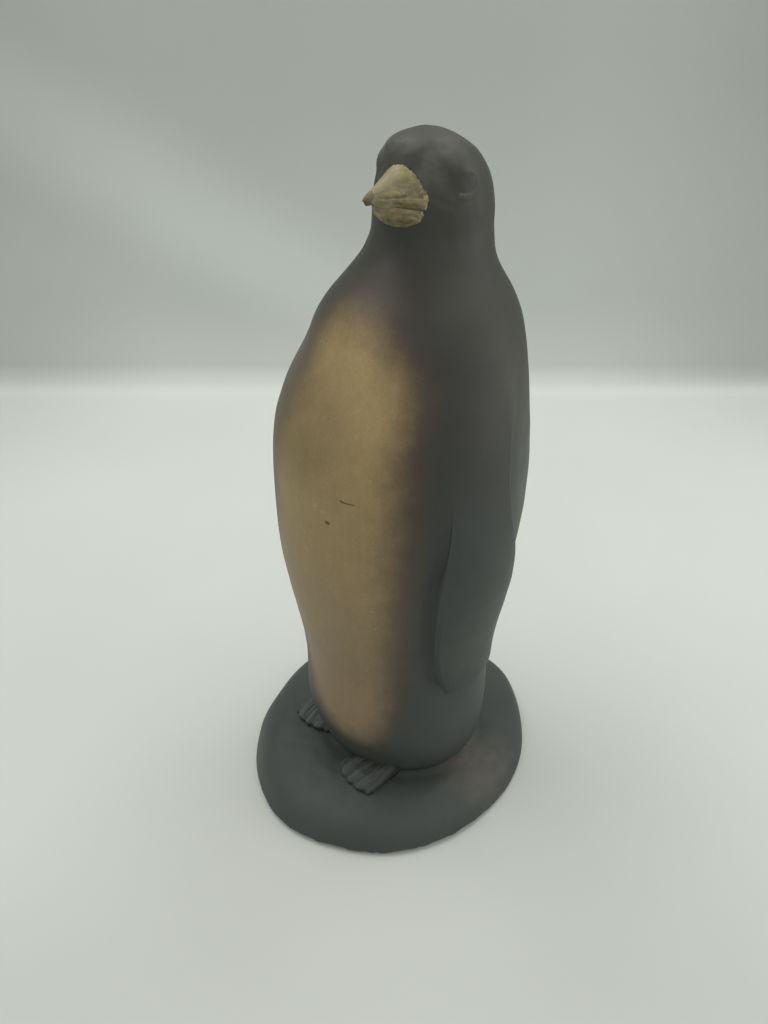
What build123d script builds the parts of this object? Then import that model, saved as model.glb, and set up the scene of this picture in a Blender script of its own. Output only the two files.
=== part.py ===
"""Standing penguin figurine on a pebble-shaped plinth.

Millimetres, Z up. The figure faces -Y, its left side is +X, and the origin
is the middle of the plinth's flat underside.

Pieces: plinth, body with neck and head, two flippers, the upper and lower
half of the bill, two eyes, two webbed feet and a short tail. The body stands
on a spigot in the plinth, the flippers and the tail lie in pockets of the
body, the bill and the eyes are let into the head, and the feet lie in
shallow beds in the plinth. Pieces that touch share their faces.
"""
from build123d import *
from math import atan2, cos, degrees, pi, radians, sin
import os

os.makedirs("parts", exist_ok=True)

# Overall sizes
overall_height = 250.0
plinth_width = 116.5
plinth_depth = 130.0
plinth_height = 16.0
plinth_side_shift = -4.2
plinth_back_shift = 2.8

# Body: widths are left to right, depths front to back
seat_depth = 3.0
foot_width = 69.0
foot_depth = 63.5
waist_width = 74.0
waist_depth = 74.0
belly_width = 90.5
belly_depth = 90.0
shoulder_width = 76.5
shoulder_depth = 75.0
neck_height = 214.0
head_width = 37.0
head_depth = 39.0
head_setback = 17.5

# Spigot under the body, and its free length in the plinth
spigot_width = 44.0
spigot_length = 9.0
spigot_clearance = 0.5

# Flippers
flipper_thickness = 3.8
flipper_bed = 3.2
flipper_tip_height = 55.0
flipper_top_drop = 51.0
flipper_peg_diameter = 7.0
flipper_peg_length = 9.0
flipper_peg_drop = 27.0

# Bill
bill_length = 12.5
lower_bill_length = 7.0
bill_width = 19.0
lower_bill_width = 16.5
bill_height = 18.0
bill_root_drop = 17.8
bill_root_bury = 9.0
bill_rise = 1.6
gape_drop = 2.6
gape_slope = 10.5

# Eyes
eye_diameter = 5.6
eye_proud = 0.7
eye_drop = 14.2
eye_angle = 76.0

# Feet
toe_span = 19.0
foot_length = 25.0
foot_height = 6.5
foot_bed = 2.0
toe_ridge = 1.1
left_foot_side = 9.0
left_foot_reach = 38.0
right_foot_side = 26.5
right_foot_reach = 26.5
left_toe_in = 14.0
right_toe_in = 15.0

# Tail
tail_width = 28.0
tail_thickness = 9.0
tail_length = 18.0
tail_bury = 9.0
tail_root_height = 23.0
tail_slope = 56.0

# Plinth outline: shares of its half width and half depth at equal turns,
# from the front round by the left side
plinth_outline_shares = [
    1.00, 0.985, 1.00, 0.99, 1.00, 0.99, 0.99, 1.01,
    1.00, 0.995, 0.99, 0.99, 1.00, 0.965, 0.965, 0.98,
]

# Plinth profile: share of its height, and how far the outline draws in as a
# share of the height
plinth_profile_shares = [
    (0.00, 0.07),
    (0.10, 0.00),
    (0.32, 0.03),
    (0.55, 0.15),
    (0.76, 0.47),
    (0.91, 0.97),
    (0.98, 1.45),
    (1.00, 1.90),
]

# Body sections. Each row gives the height as a share of the way from the
# seat to the neck, or from the neck to the crown, the pair of sizes that the
# section takes, its share of them, and its share of the head's setback.
trunk_rows_shares = [
    (0.000, "foot", 1.00, 0.25),
    (0.045, "foot", 1.06, 0.21),
    (0.125, "waist", 1.01, 0.15),
    (0.235, "waist", 1.00, 0.12),
    (0.295, "waist", 1.01, 0.09),
    (0.373, "belly", 0.88, 0.08),
    (0.493, "belly", 0.965, 0.09),
    (0.632, "belly", 1.00, 0.16),
    (0.756, "belly", 0.955, 0.22),
    (0.851, "shoulder", 1.00, 0.49),
    (0.925, "shoulder", 0.84, 0.69),
    (0.985, "shoulder", 0.61, 0.84),
]
head_rows_shares = [
    (0.195, "head", 1.03, 0.98),
    (0.417, "head", 1.00, 1.00),
    (0.611, "head", 0.93, 0.96),
    (0.792, "head", 0.785, 0.90),
    (0.911, "head", 0.58, 0.79),
    (0.980, "head", 0.235, 0.74),
    (1.000, "head", 0.06, 0.74),
]

# Flipper sections: share of the length from the tip to the shoulder, front
# and back edge in degrees round from the front, and share of the thickness
flipper_rows_shares = [
    (0.000, 90.0, 108.0),
    (0.030, 76.0, 112.0),
    (0.070, 66.0, 114.0),
    (0.130, 60.5, 114.0),
    (0.210, 58.3, 113.0),
    (0.310, 57.5, 110.5),
    (0.420, 57.5, 106.5),
    (0.540, 58.0, 101.5),
    (0.660, 59.2, 97.5),
    (0.780, 61.3, 94.8),
    (0.896, 65.0, 92.0),
    (0.950, 67.5, 90.5),
    (1.000, 71.0, 88.0),
]
flipper_thickness_shares = [
    0.40, 0.68, 0.90, 1.00, 1.00, 0.99, 0.95, 0.88, 0.78, 0.64, 0.44, 0.34, 0.26,
]
flipper_front_share = 0.38
flipper_back_share = 0.60

# Bill sections: share of the length from the face to the tip, and shares of
# the half width, the height above the axis, the height below it, and the
# half width of the upper flank
bill_rows_shares = [
    (0.00, 1.00, 1.00, 1.00, 0.73),
    (0.30, 0.76, 0.74, 0.80, 0.66),
    (0.58, 0.49, 0.50, 0.58, 0.66),
    (0.82, 0.27, 0.33, 0.34, 0.64),
    (1.00, 0.10, 0.15, 0.14, 0.64),
]

bill_corner_share = 0.20
bill_shoulder_height_share = 0.42

# Tail sections: share of the length past the back of the body, and shares of
# the width and the thickness
tail_rows_shares = [(0.00, 1.00, 1.00), (0.55, 0.84, 0.80), (1.00, 0.50, 0.42)]

# Foot sections: share of the length from the heel to the toes, and shares
# of the toe span, of the height and of the toe ridges
foot_sections_shares = [
    (0.00, 0.62, 1.00, 0.30),
    (0.50, 0.84, 0.90, 0.80),
    (0.88, 1.00, 0.66, 1.00),
    (1.00, 0.92, 0.30, 0.60),
]
toe_side_share = 0.50
outer_toe_share = 0.72
outer_toe_height_share = 0.97

seat_level = plinth_height - seat_depth
head_rise = overall_height - neck_height
flipper_rise = overall_height - flipper_top_drop - flipper_tip_height


widths = {
    "foot": foot_width,
    "waist": waist_width,
    "belly": belly_width,
    "shoulder": shoulder_width,
    "head": head_width,
}
depths = {
    "foot": foot_depth,
    "waist": waist_depth,
    "belly": belly_depth,
    "shoulder": shoulder_depth,
    "head": head_depth,
}


def section_rows(table, base, rise):
    """Height, half width, half depth and setback of each body section."""
    rows = []
    for level, pair, share, lean in table:
        rows.append((
            base + level * rise,
            share * widths[pair] / 2,
            share * depths[pair] / 2,
            lean * head_setback,
        ))
    return rows


sections = section_rows(trunk_rows_shares, seat_level, neck_height - seat_level)
sections += section_rows(head_rows_shares, neck_height, head_rise)
foot_setback = sections[0][3]


def around(row, angle, out):
    """Point on a body section, turned round from the front, and moved out."""
    height, half_width, half_depth, setback = row
    turn = radians(angle)
    x = (half_width + out) * sin(turn)
    y = setback - (half_depth + out) * cos(turn)
    return (x, y)


def body_section_at(height):
    """Body section at any height, on a smooth curve through the rows."""
    for number in range(len(sections) - 1):
        low, high = sections[number], sections[number + 1]
        if low[0] <= height <= high[0]:
            break
    before = sections[max(number - 1, 0)]
    after = sections[min(number + 2, len(sections) - 1)]
    span = high[0] - low[0]
    t = (height - low[0]) / span
    values = [height]
    for size in (1, 2, 3):
        rise_low = (high[size] - before[size]) / (high[0] - before[0]) * span
        rise_high = (after[size] - low[size]) / (after[0] - low[0]) * span
        values.append(
            low[size] * (2 * t**3 - 3 * t**2 + 1)
            + rise_low * (t**3 - 2 * t**2 + t)
            + high[size] * (3 * t**2 - 2 * t**3)
            + rise_high * (t**3 - t**2)
        )
    return tuple(values)


def flipper_solid(side):
    """Flipper on one side: a tapering blade that wraps the flank."""
    with BuildPart(mode=Mode.PRIVATE) as blade:
        for (along, front, back), share in zip(
            flipper_rows_shares, flipper_thickness_shares
        ):
            row = body_section_at(flipper_tip_height + along * flipper_rise)
            thick = share * flipper_thickness
            middle = (front + back) / 2
            a = around(row, front, flipper_front_share * thick)
            b = around(row, middle, thick)
            c = around(row, back, flipper_back_share * thick)
            d = around(row, back, -flipper_bed)
            e = around(row, middle, -flipper_bed)
            f = around(row, front, -flipper_bed)
            flip = [(side * x, y) for x, y in (a, b, c, d, e, f)]
            with BuildSketch(Plane.XY.offset(row[0])):
                with BuildLine():
                    ThreePointArc(flip[0], flip[1], flip[2])
                    Line(flip[2], flip[3])
                    ThreePointArc(flip[3], flip[4], flip[5])
                    Line(flip[5], flip[0])
                make_face()
        loft()
        # Locating peg, square to the flank
        row = body_section_at(flipper_tip_height + flipper_rise - flipper_peg_drop)
        middle = (flipper_rows_shares[-3][1] + flipper_rows_shares[-3][2]) / 2
        x, y = around(row, middle, -flipper_bed)
        turn = radians(middle)
        inward = (-side * sin(turn), cos(turn), 0)
        with BuildSketch(Plane(origin=(side * x, y, row[0]), z_dir=inward)):
            Circle(flipper_peg_diameter / 2)
        extrude(amount=flipper_peg_length)
    return blade.part


left_blade = flipper_solid(1)
right_blade = flipper_solid(-1)

# Bill: the whole form first, then the two halves on either side of the gape
bill_level = overall_height - bill_root_drop
face = body_section_at(bill_level)
bill_face_y = face[3] - face[2]


def bill_points(half_width, up, down, flank):
    """Points of the pointed oval across the bill, with a ridge on top."""
    corner = (half_width, -bill_corner_share * down)
    shoulder = (flank * half_width, bill_shoulder_height_share * up)
    return (0, up), shoulder, corner, (0, -down)


def mirrored(point):
    return (-point[0], point[1])


def bill_half(keep, length, width):
    """Upper or lower half of the bill, cut along the gape, with its tenon."""
    with BuildPart(mode=Mode.PRIVATE) as half:
        buried = (-bill_root_bury / length,) + bill_rows_shares[0][1:]
        for along, wide, up, down, flank in [buried] + bill_rows_shares:
            top, shoulder, corner, keel = bill_points(
                wide * width / 2, up * bill_height / 2, down * bill_height / 2, flank
            )
            level = bill_level + max(along, 0) * bill_rise * length / bill_length
            outline = Plane(
                origin=(0, bill_face_y - along * length, level),
                x_dir=(1, 0, 0),
                z_dir=(0, -1, 0),
            )
            with BuildSketch(outline):
                with BuildLine():
                    ThreePointArc(top, shoulder, corner)
                    ThreePointArc(corner, keel, mirrored(corner))
                    ThreePointArc(mirrored(corner), mirrored(shoulder), top)
                make_face()
        loft()
        split(bisect_by=gape, keep=keep)
    return half.part


gape = Plane(
    origin=(0, bill_face_y, bill_level - gape_drop),
    x_dir=(1, 0, 0),
    z_dir=(0, sin(radians(gape_slope)), cos(radians(gape_slope))),
)
upper_half = bill_half(Keep.TOP, bill_length, bill_width)
lower_half = bill_half(Keep.BOTTOM, lower_bill_length, lower_bill_width)


def eye_solid(side):
    """Round bead, sunk into the side of the head."""
    row = body_section_at(overall_height - eye_drop)
    x, y = around(row, eye_angle, eye_proud - eye_diameter / 2)
    with BuildPart(mode=Mode.PRIVATE) as bead:
        with Locations((side * x, y, row[0])):
            Sphere(eye_diameter / 2, rotation=(0, side * 90, 0))
    return bead.part


def foot_solid(x, y, turn):
    """Webbed foot with three toe ridges, its front edge centred at x, y."""
    forward = (sin(radians(turn)), -cos(radians(turn)), 0)
    across = (-forward[1], forward[0], 0)
    with BuildPart(mode=Mode.PRIVATE) as foot:
        for along, wide, high, ridge in foot_sections_shares:
            back = (along - 1) * foot_length
            station = Plane(
                origin=(x + back * forward[0], y + back * forward[1], plinth_height),
                x_dir=across,
                z_dir=forward,
            )
            half = wide * toe_span / 2
            top = high * foot_height
            valley = top - ridge * toe_ridge
            side = toe_side_share * top
            outer = outer_toe_height_share * top
            with BuildSketch(station):
                with BuildLine():
                    Line((-half, -foot_bed), (half, -foot_bed))
                    Line((half, -foot_bed), (half, side))
                    ThreePointArc((half, side), (outer_toe_share * half, outer), (half / 3, valley))
                    ThreePointArc((half / 3, valley), (0, top), (-half / 3, valley))
                    ThreePointArc(
                        (-half / 3, valley), (-outer_toe_share * half, outer), (-half, side)
                    )
                    Line((-half, side), (-half, -foot_bed))
                make_face()
        loft()
    return foot.part


# Tail: a short flat wedge that slopes down from the back of the body
tail_row = body_section_at(plinth_height + tail_root_height)
tail_direction = (0, cos(radians(tail_slope)), -sin(radians(tail_slope)))
with BuildPart() as tail:
    for along, wide, thick in [(-tail_bury / tail_length, 1.0, 1.0)] + tail_rows_shares:
        reach = along * tail_length
        station = Plane(
            origin=(
                0,
                tail_row[3] + tail_row[2] + reach * tail_direction[1],
                tail_row[0] + reach * tail_direction[2],
            ),
            x_dir=(1, 0, 0),
            z_dir=tail_direction,
        )
        with BuildSketch(station):
            Ellipse(wide * tail_width / 2, thick * tail_thickness / 2)
    loft()

with BuildPart() as left_flipper:
    add(flipper_solid(1))

with BuildPart() as right_flipper:
    add(flipper_solid(-1))

with BuildPart() as left_eye:
    add(eye_solid(1))

with BuildPart() as right_eye:
    add(eye_solid(-1))

with BuildPart() as upper_bill:
    add(upper_half)

with BuildPart() as lower_bill:
    add(lower_half)

with BuildPart() as left_foot:
    add(foot_solid(left_foot_side, -left_foot_reach, -left_toe_in))

with BuildPart() as right_foot:
    add(foot_solid(-right_foot_side, -right_foot_reach, right_toe_in))

# Body, neck and head as one lofted form on its spigot, with the beds of
# everything that is let into it
with BuildPart() as body:
    for height, half_width, half_depth, setback in sections:
        with BuildSketch(Plane.XY.offset(height)):
            with BuildLine():
                for start in (45, 135, 225, 315):
                    EllipticalCenterArc((0, setback), half_width, half_depth, start, arc_size=90)
            make_face()
    loft()
    with BuildSketch(Plane.XY.offset(seat_level)):
        with Locations((0, foot_setback)):
            Ellipse(spigot_width / 2, spigot_width * foot_depth / foot_width / 2)
    extrude(amount=-spigot_length)
    for piece in (
        left_flipper,
        right_flipper,
        left_eye,
        right_eye,
        upper_bill,
        lower_bill,
        left_foot,
        right_foot,
        tail,
    ):
        add(piece.part, mode=Mode.SUBTRACT)

# Plinth: a pebble form with the seat of the body, the hole for its spigot and
# the beds of the feet
with BuildPart() as plinth:
    for level, drawn_in in plinth_profile_shares:
        inset = drawn_in * plinth_height
        step = 2 * pi / len(plinth_outline_shares)
        outline = []
        for number, share in enumerate(plinth_outline_shares):
            x = (share * plinth_width / 2 - inset) * sin(number * step)
            y = (share * plinth_depth / 2 - inset) * cos(number * step)
            outline.append((plinth_side_shift + x, plinth_back_shift - y))
        with BuildSketch(Plane.XY.offset(level * plinth_height)):
            with BuildLine():
                Spline(*outline, periodic=True)
            make_face()
    loft()
    with BuildSketch(Plane.XY.offset(seat_level)):
        with Locations((0, foot_setback)):
            Ellipse(spigot_width / 2, spigot_width * foot_depth / foot_width / 2)
    extrude(amount=-(spigot_length + spigot_clearance), mode=Mode.SUBTRACT)
    for piece in (body, left_foot, right_foot):
        add(piece.part, mode=Mode.SUBTRACT)

pieces = {
    "plinth": plinth,
    "body": body,
    "left_flipper": left_flipper,
    "right_flipper": right_flipper,
    "upper_bill": upper_bill,
    "lower_bill": lower_bill,
    "left_eye": left_eye,
    "right_eye": right_eye,
    "left_foot": left_foot,
    "right_foot": right_foot,
    "tail": tail,
}
for name, piece in pieces.items():
    piece.part.label = name
    export_step(piece.part, f"parts/{name}.step")
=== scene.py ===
"""Looks of a hand-painted penguin figurine on a pebble plinth.

Lengths in the shape functions are millimetres, and the meshes are metres.
The figure faces -Y and its left side is +X. A place on the body is given by
its turn round from the front, in degrees towards the figure's left, and its
height.
"""

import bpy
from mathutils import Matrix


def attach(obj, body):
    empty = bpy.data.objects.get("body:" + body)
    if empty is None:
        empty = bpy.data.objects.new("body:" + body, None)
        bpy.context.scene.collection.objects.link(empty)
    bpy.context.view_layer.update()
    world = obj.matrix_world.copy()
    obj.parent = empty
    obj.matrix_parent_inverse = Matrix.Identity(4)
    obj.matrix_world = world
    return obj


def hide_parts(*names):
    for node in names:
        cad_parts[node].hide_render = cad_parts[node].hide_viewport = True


bl_info = {
    "name": "Penguin Figurine",
    "version": (1, 0, 0),
    "blender": (4, 5, 0),
    "location": "View3D > Sidebar > Penguin",
    "description": "Builds a painted penguin figurine around its packed solids",
    "category": "Object",
}

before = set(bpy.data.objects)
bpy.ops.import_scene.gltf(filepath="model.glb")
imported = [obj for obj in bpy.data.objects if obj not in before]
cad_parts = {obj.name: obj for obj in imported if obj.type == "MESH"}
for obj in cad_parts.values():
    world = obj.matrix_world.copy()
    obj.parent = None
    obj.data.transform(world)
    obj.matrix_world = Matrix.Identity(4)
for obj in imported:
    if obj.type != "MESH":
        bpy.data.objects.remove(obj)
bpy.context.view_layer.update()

import math
from functools import reduce

import bpy
import numpy as np

MM = 0.001
PLINTH_TOP = 16.0
SEAT_LEVEL = 13.0
CROWN_LEVEL = 250.0


# Plain helpers for shapes

def smooth_curve(keys, values, at):
    """Natural cubic curve through the values at the keys, one column each."""
    keys, values = np.asarray(keys, float), np.asarray(values, float)
    columns = values.reshape(len(keys), -1)
    gaps = np.diff(keys)
    slopes = np.diff(columns, axis=0) / gaps[:, None]
    matrix, right = np.eye(len(keys)), np.zeros_like(columns)
    inner = np.arange(1, len(keys) - 1)
    matrix[inner, inner] = 2 * (gaps[:-1] + gaps[1:])
    matrix[inner, inner - 1] = gaps[:-1]
    matrix[inner, inner + 1] = gaps[1:]
    right[inner] = 6 * np.diff(slopes, axis=0)
    bends = np.linalg.solve(matrix, right)
    at = np.asarray(at, float)
    cell = np.clip(np.searchsorted(keys, at) - 1, 0, len(keys) - 2)
    gap = gaps[cell][:, None]
    b = ((at - keys[cell]) / gaps[cell])[:, None]
    a = 1 - b
    found = a * columns[cell] + b * columns[cell + 1]
    found += ((a**3 - a) * bends[cell] + (b**3 - b) * bends[cell + 1]) * gap**2 / 6
    return found.reshape((len(at),) + values.shape[1:])


def look_up(table, at, outside=None):
    """The other columns of a table by its first, straight between its rows.
    Past its ends they are the end rows', or the number outside."""
    return [np.interp(at, table[:, 0], values, outside, outside) for values in table[:, 1:].T]


def length_along(table):
    """Length along a table's rows, measured on its first two columns."""
    steps = np.hypot(np.diff(table[:, 0]), np.diff(table[:, 1]))
    return np.concatenate([[0], np.cumsum(steps)])


def smooth_rise(low, high, value):
    """Rises from 0 at low to 1 at high, flat at both ends."""
    share = np.clip((value - low) / (high - low), 0, 1)
    return share * share * (3 - 2 * share)


def smooth_fall(low, high, value):
    """Falls from 1 at low to 0 at high, flat at both ends."""
    return 1 - smooth_rise(low, high, value)


def bell(distance, width):
    """Bell curve of a distance: 1 at nought and 0.37 at the width."""
    return np.exp(-((distance / width) ** 2))


def quarter_round(share):
    """Rises as a quarter of a circle while the share goes from 0 to 1."""
    return np.sqrt(np.clip(1 - (1 - np.clip(share, 0, 1)) ** 2, 0, 1))


def ring_angles(count):
    """Equal steps round a full turn."""
    return np.arange(count) * (2 * math.pi / count)


def signed_degrees(angles):
    """Angles of a full turn in degrees, from -180 to 180."""
    return np.degrees(np.where(angles > math.pi, angles - 2 * math.pi, angles))


def widened(values, count, fill=0.0):
    """The values with count columns of one number after them."""
    return np.pad(values, ((0, 0), (0, count)), constant_values=fill)


def mirrored(points):
    """The points with those on the right brought over to the left."""
    both = points.copy()
    both[..., 0] = np.abs(both[..., 0])
    return both


def lumps(points, size, seed, waves=28):
    """Soft random lumps, about -1 to 1: a sum of waves about size long, each
    across a random direction and with a random start."""
    draw = np.random.default_rng(seed)
    ways = draw.normal(size=(waves, 3))
    ways /= np.linalg.norm(ways, axis=1, keepdims=True)
    lengths = size * draw.uniform(0.6, 1.7, waves)
    starts = draw.uniform(0, 2 * math.pi, waves)
    total = np.zeros(points.shape[:-1])
    for way, length, start in zip(ways, lengths, starts):
        total += np.sin(points @ way * (2 * math.pi / length) + start)
    return total / math.sqrt(waves)


def surface_normals(grid):
    """Outward unit normals of a ring-closed grid, by differences of its rows
    and columns."""
    along = np.gradient(grid, axis=0)
    wrapped = np.concatenate([grid[:, -1:], grid, grid[:, :1]], axis=1)
    around = (wrapped[:, 2:] - wrapped[:, :-2]) / 2
    normals = np.cross(around, along)
    return normals / np.maximum(np.linalg.norm(normals, axis=-1, keepdims=True), 1e-12)


def line_distance(points, places):
    """Distance of each point from a chain of straight runs."""
    nearest = np.full(points.shape[:-1], np.inf)
    for start, end in zip(places[:-1], places[1:]):
        run = end - start
        share = np.clip((points - start) @ run / (run @ run), 0, 1)
        off = points - start - share[..., None] * run
        nearest = np.minimum(nearest, np.sqrt((off**2).sum(-1)))
    return nearest


def smooth_object(name, points, faces):
    """Smooth-shaded object of points in metres and their faces."""
    mesh = bpy.data.meshes.new(name)
    mesh.from_pydata(points.tolist(), [], faces)
    mesh.polygons.foreach_set("use_smooth", np.ones(len(mesh.polygons), bool))
    made = bpy.data.objects.new(name, mesh)
    bpy.context.scene.collection.objects.link(made)
    return made


def closed_surface(name, grid, low=None, high=None, masks=None, side=1):
    """Object of a grid of points, shape rows by columns by 3. The columns
    close into rings that run counterclockwise seen from the last row. The
    first and last ring close on the poles low and high, or else on their own
    middles. masks are numbers per point that the materials read. A side of
    -1 mirrors the piece to the figure's right."""
    rows, columns = grid.shape[:2]
    low = grid[0].mean(0) if low is None else low
    high = grid[-1].mean(0) if high is None else high
    points = np.concatenate([grid.reshape(-1, 3), [low, high]]) * MM
    points[:, 0] *= side
    ring = np.arange(columns)
    after = np.roll(ring, -1)
    first = (np.arange(rows - 1) * columns)[:, None]
    quads = np.stack([
        first + ring, first + after, first + columns + after, first + columns + ring,
    ], -1).reshape(-1, 4)
    last, pole = (rows - 1) * columns, rows * columns
    fans = np.concatenate([
        np.stack([after, ring, np.full(columns, pole)], -1),
        np.stack([last + ring, last + after, np.full(columns, pole + 1)], -1),
    ])
    if side < 0:
        quads, fans = quads[:, ::-1], fans[:, ::-1]
    made = smooth_object(name, points, quads.tolist() + fans.tolist())
    for mask, values in (masks or {}).items():
        values = np.broadcast_to(values, (rows, columns)).reshape(-1)
        ends = [values[:columns].mean(), values[last:].mean()]
        attribute = made.data.attributes.new(mask, "FLOAT", "POINT")
        attribute.data.foreach_set("value", np.concatenate([values, ends]).astype(np.float32))
    made.data.update()
    return made


def hand(side):
    """Name of a side, which is 1 on the figure's left."""
    return "left" if side > 0 else "right"


# The body's own surface

# Body sections from the seat to the crown: height, half width, half depth
# and setback
BODY_SECTIONS = np.array([
    (13.0, 32.7, 30.0, 4.4), (17.0, 34.5, 31.9, 4.1), (22.5, 36.2, 33.6, 3.6),
    (29.0, 37.1, 35.5, 3.1), (38.1, 37.4, 37.4, 2.6), (60.2, 37.0, 37.0, 2.1),
    (72.3, 37.4, 37.4, 1.6), (88.0, 39.8, 39.6, 1.4), (112.1, 43.7, 43.4, 1.6),
    (140.0, 45.25, 45.0, 2.8), (165.0, 43.2, 43.0, 3.85), (184.1, 38.25, 37.5, 8.6),
    (198.9, 32.1, 31.5, 12.1), (211.0, 23.3, 22.9, 14.7), (221.0, 19.05, 20.1, 17.2),
    (229.0, 18.5, 19.5, 17.5), (236.0, 17.2, 18.1, 16.8), (242.5, 14.5, 15.3, 15.25),
    (246.8, 10.8, 11.4, 13.3), (249.3, 4.9, 5.2, 12.9), (249.95, 1.2, 1.25, 12.9),
])


def section_table():
    """The body sections at many heights, by a smooth curve whose key is the
    length along the rows."""
    keys = length_along(BODY_SECTIONS)
    at = np.linspace(0, keys[-1], 3000)
    return at, smooth_curve(keys, BODY_SECTIONS, at)


SECTION_KEYS, SECTION_ROWS = section_table()


def flank(turn, height, out=0.0):
    """Point on the body's ellipse at a height, turned round from the front
    and moved out sideways. The x is (half width + out) times the sine of the
    turn, and the y is the setback less (half depth + out) times its cosine."""
    turn, height = np.broadcast_arrays(np.radians(turn), np.asarray(height, float))
    half_width, half_depth, setback = look_up(SECTION_ROWS, height)
    x = (half_width + out) * np.sin(turn)
    y = setback - (half_depth + out) * np.cos(turn)
    return np.stack([x, y, height], -1)


def spot_distance(points, turn, height):
    """Distance of each point from a place on the body."""
    return np.linalg.norm(points - flank(float(turn), float(height)), axis=-1)


def drawn_distance(points, line):
    """Distance of each point from a line of places on the body."""
    return line_distance(points, flank(*np.array(line, float).T))


def swellings(points, spots):
    """How far swellings stand out at each point, by bell curves of the
    distance. Each has its turn, height, radius and rise."""
    return sum(
        rise * bell(spot_distance(points, turn, height), radius)
        for turn, height, radius, rise in spots
    )


# Carving of the head. Lines have their places as turn and height, their
# width, and how far they stand out or are cut in.
# Lids of the eye
LID_LINES = [
    ([(71, 238.6), (75, 238.8), (79, 238.7), (82.5, 238.1)], 0.48, 0.32),
    ([(65, 233.1), (69, 232.7), (74, 232.8), (79, 233.6), (83, 234.9), (85, 236.0)], 0.42, 0.32),
]
HEAD_LINES = [
    # brow over the eye
    ([(42, 241.0), (50, 241.5), (60, 241.5), (70, 240.9), (80, 239.8), (90, 238.2)], 3.1, 0.62),
    # fold over the upper lid and the groove under it
    ([(66, 239.8), (75, 240.6), (84, 240.2), (92, 238.4)], 1.0, -0.20),
    ([(71, 237.6), (77, 237.9), (84, 237.4)], 0.45, -0.20),
    # groove over the lower lid and the line under it
    ([(64, 234.2), (69, 233.5), (75, 233.7), (80, 234.5), (84, 235.8)], 0.50, -0.22),
    ([(60, 231.9), (70, 230.8), (80, 231.5), (88, 233.4)], 1.3, -0.14),
    # ridge from the bill up the forehead, and its branch towards the brow
    ([(1, 241.5), (2.0, 244.0), (2, 246.5)], 0.8, 0.16),
    ([(12, 243.6), (20, 244.4), (30, 245.2), (41, 245.9)], 1.1, 0.13),
    ([(42.5, 246.2), (43.5, 244.2), (41.5, 242.4), (38, 240.8)], 1.0, -0.14),
    ([(24, 240.4), (31, 238.2), (36, 235.6)], 1.0, -0.18),
    # cheek line from the corner of the mouth
    ([(34, 234.6), (37, 233.4), (41, 232.4), (48, 231.1), (57, 230.3)], 0.9, -0.26),
    # chin
    ([(22, 226.6), (16, 224.0), (9, 221.6), (2, 219.0)], 1.8, 0.15),
]
# Soft hollows and swellings: turn, height, radius and rise
HEAD_SPOTS = [
    (57, 236.7, 3.5, -0.80), (49, 235.8, 3.2, -0.32), (33, 241.3, 1.6, -0.20),
    (0, 247.0, 5.0, -0.25), (22, 247.2, 4.6, -0.15), (10, 241.6, 3.6, 0.40),
    (44, 242.3, 3.8, 0.55), (46, 228.6, 5.5, 0.35), (70, 227.5, 6.0, 0.20),
    (77, 235.8, 3.0, 0.20), (98, 236.0, 4.0, -0.15), (131, 247.4, 4.2, -0.40),
]
# The same on the right side alone, whose brow stands a little further forward
FAR_SPOTS = [(-49, 243.4, 3.0, -0.55), (-50, 239.2, 2.2, 0.22), (-46, 235.2, 2.8, 0.58)]
# Where a painted highlight lies along the brow
BROW_HIGHLIGHT = [(42, 243.6), (50, 244.4), (58, 244.1), (68, 242.8), (78, 241.2), (84, 240.0)]
# Broad swellings of the body
BODY_SPOTS = [(-52, 187, 7.5, -1.0), (128, 205, 7.0, 0.55)]
# The two marks on the breast: a dot and a scratch
DOT_PLACE = (9.0, 141.1)
SCRATCH_LINE = [(15.2, 150.6), (17.6, 150.1), (21.2, 150.0)]


def head_relief(points, sizes):
    """How far the carving of the head stands out at each point: bell curves
    of the distance from its lines and spots, on both sides alike."""
    both = mirrored(points)
    relief = swellings(both, HEAD_SPOTS) + swellings(points, FAR_SPOTS)
    for line, width, rise in HEAD_LINES + LID_LINES:
        relief += rise * bell(drawn_distance(both, line), width)
    return relief * sizes.carving_depth


# Edge of the gold breast: height, and how far it is turned to the right
# and to the left of the front
GOLD_EDGE = np.array([
    (36.2, -8.0, 12.0), (37.0, -1.0, 20.5), (40.0, 7.0, 26.5), (45.5, 16.0, 31.0),
    (54.0, 27.0, 34.3), (70.0, 35.0, 36.6), (90.0, 38.0, 37.4), (115.0, 37.5, 38.2),
    (139.0, 36.0, 38.1), (155.0, 32.5, 39.4), (169.0, 28.0, 39.0), (179.0, 24.5, 39.8),
    (187.5, 22.6, 34.4), (194.0, 23.6, 25.5), (199.0, 20.8, 17.5), (201.8, 16.0, 8.5),
    (203.0, 8.0, -4.0),
])
# The mesh carries the distance from it as a share between this far out and in
GOLD_REACH = 50.0


def gold_mask(turn, height):
    """How far inside the gold's edge each point is, measured on the unrolled
    breast, as a share from 0 at GOLD_REACH outside to 1 at as much inside."""
    unroll = math.radians(42.0)
    key = np.arange(len(GOLD_EDGE))
    fine = smooth_curve(key, GOLD_EDGE, np.linspace(0, key[-1], 90))
    left = np.stack([-fine[:, 1] * unroll, fine[:, 0]], -1)
    right = np.stack([fine[:, 2] * unroll, fine[:, 0]], -1)
    here = np.stack([turn * unroll, height], -1)
    away = line_distance(here, np.concatenate([left, right[::-1], left[:1]]))
    low, high = look_up(fine, height, -99)
    inside = np.where((turn < high) & (turn > -low), away, -away)
    return np.clip((inside + GOLD_REACH) / (2 * GOLD_REACH), 0, 1)


def soft_lumps(points):
    """The low lumps of the casting, which body and flippers share."""
    return 0.16 * lumps(points, 46, 3) + 0.05 * lumps(points, 13, 4)


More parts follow.
